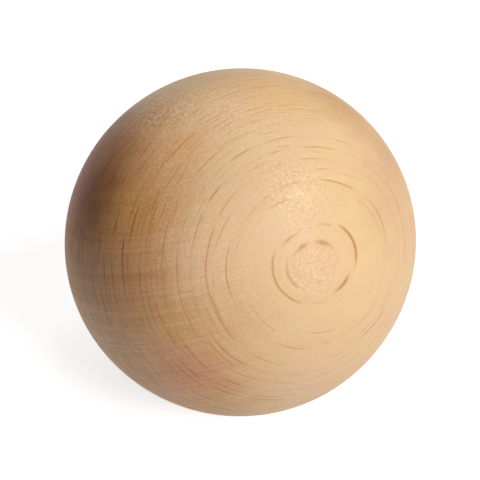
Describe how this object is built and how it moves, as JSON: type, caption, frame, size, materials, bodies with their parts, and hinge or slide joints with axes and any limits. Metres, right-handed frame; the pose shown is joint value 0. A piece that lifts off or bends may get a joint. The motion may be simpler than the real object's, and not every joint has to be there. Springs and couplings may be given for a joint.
{
  "type": "wooden ball cabinet knob",
  "caption": "Turned beech ball with a flat seat and a blind pilot hole behind, screwed to a cabinet door or drawer front as its handle.",
  "frame": {"origin": "centre of the flat seat that meets the door, which is also the mouth of the screw hole", "axes": "+Z runs along the screw hole's axis, from the seat out through the knob's front; +X is any direction in the plane of the seat, because the knob is round about +Z"},
  "size_m": [0.04, 0.04, 0.0379],
  "materials": {
    "beech": "fine sanded raw beech, satin, flat-sawn figure"
  },
  "bodies": {
    "root": {"knob": "beech"}
  },
  "joints": []
}
